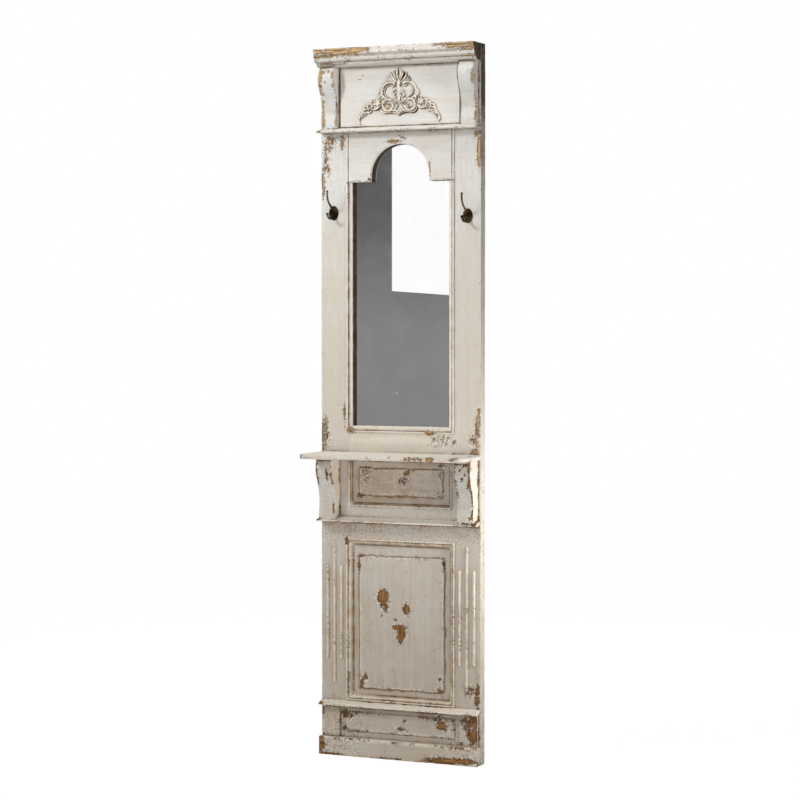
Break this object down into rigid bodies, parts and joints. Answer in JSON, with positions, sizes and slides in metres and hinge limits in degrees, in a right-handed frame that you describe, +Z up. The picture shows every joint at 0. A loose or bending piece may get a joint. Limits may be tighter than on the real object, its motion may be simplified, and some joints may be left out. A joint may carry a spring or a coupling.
{
  "type": "wall mirror",
  "caption": "Tall narrow painted wood wall mirror with cornice, carved frieze, arched glass, coat hooks, bracketed shelf, raised panels, reeded stiles and plinth.",
  "frame": {"origin": "on the wall plane, at the bottom middle of the panel", "axes": "+X to the viewer's right, +Y into the wall, +Z up"},
  "size_m": [0.491, 0.181, 2],
  "materials": {
    "chipped_paint": "chipped off-white paint",
    "bare_wood": "unpainted softwood",
    "hardboard": "brown hardboard",
    "mirror": "silvered glass",
    "antique_bronze": "dark, worn at the middle",
    "zinc_steel": "zinc plated"
  },
  "bodies": {
    "panel": {"arch_board": "chipped_paint", "base_block_left": "chipped_paint", "base_block_right": "chipped_paint", "base_panel": "chipped_paint", "bottom_back_batten": "bare_wood", "bottom_rail": "chipped_paint", "carved_ornament": "chipped_paint", "coat_hook_left": "antique_bronze", "coat_hook_right": "antique_bronze", "cornice": "chipped_paint", "frieze_board": "chipped_paint", "frieze_rail": "bare_wood", "hanger_screws": "zinc_steel", "hanger_strap_left": "zinc_steel", "hanger_strap_right": "zinc_steel", "hook_screws": "antique_bronze", "left_back_batten": "bare_wood", "left_stile": "chipped_paint", "lock_rail": "chipped_paint", "lower_corbel_left": "chipped_paint", "lower_corbel_right": "chipped_paint", "lower_ledge": "chipped_paint", "middle_back_batten": "bare_wood", "middle_ledge": "chipped_paint", "mirror_backing": "hardboard", "mirror_clip_screws": "zinc_steel", "mirror_clips": "zinc_steel", "mirror_glass": "mirror", "mirror_moulding_bottom": "chipped_paint", "mirror_moulding_left": "chipped_paint", "mirror_moulding_right": "chipped_paint", "plinth": "chipped_paint", "reed_left_inner": "chipped_paint", "reed_left_middle": "chipped_paint", "reed_left_outer": "chipped_paint", "reed_right_inner": "chipped_paint", "reed_right_middle": "chipped_paint", "reed_right_outer": "chipped_paint", "right_back_batten": "bare_wood", "right_stile": "chipped_paint", "shelf": "chipped_paint", "shelf_screws": "zinc_steel", "sill_rail": "chipped_paint", "small_moulding_bottom": "chipped_paint", "small_moulding_left": "chipped_paint", "small_moulding_right": "chipped_paint", "small_panel": "chipped_paint", "tall_moulding_bottom": "chipped_paint", "tall_moulding_left": "chipped_paint", "tall_moulding_right": "chipped_paint", "tall_moulding_top": "chipped_paint", "tall_panel": "chipped_paint", "top_back_batten": "bare_wood", "upper_corbel_left": "chipped_paint", "upper_corbel_right": "chipped_paint", "upper_ledge": "chipped_paint"},
    "left_ring": {"hanger_ring_left": "zinc_steel"},
    "right_ring": {"hanger_ring_right": "zinc_steel"}
  },
  "joints": [
    {"name": "left_ring_swing", "type": "hinge", "parent": "panel", "child": "left_ring", "pos_m": [-0.12, -0.0095, 1.89], "axis": [1, 0, 0], "range_deg": [0, 170]},
    {"name": "right_ring_swing", "type": "hinge", "parent": "panel", "child": "right_ring", "pos_m": [0.12, -0.0095, 1.89], "axis": [1, 0, 0], "range_deg": [0, 170]}
  ]
}
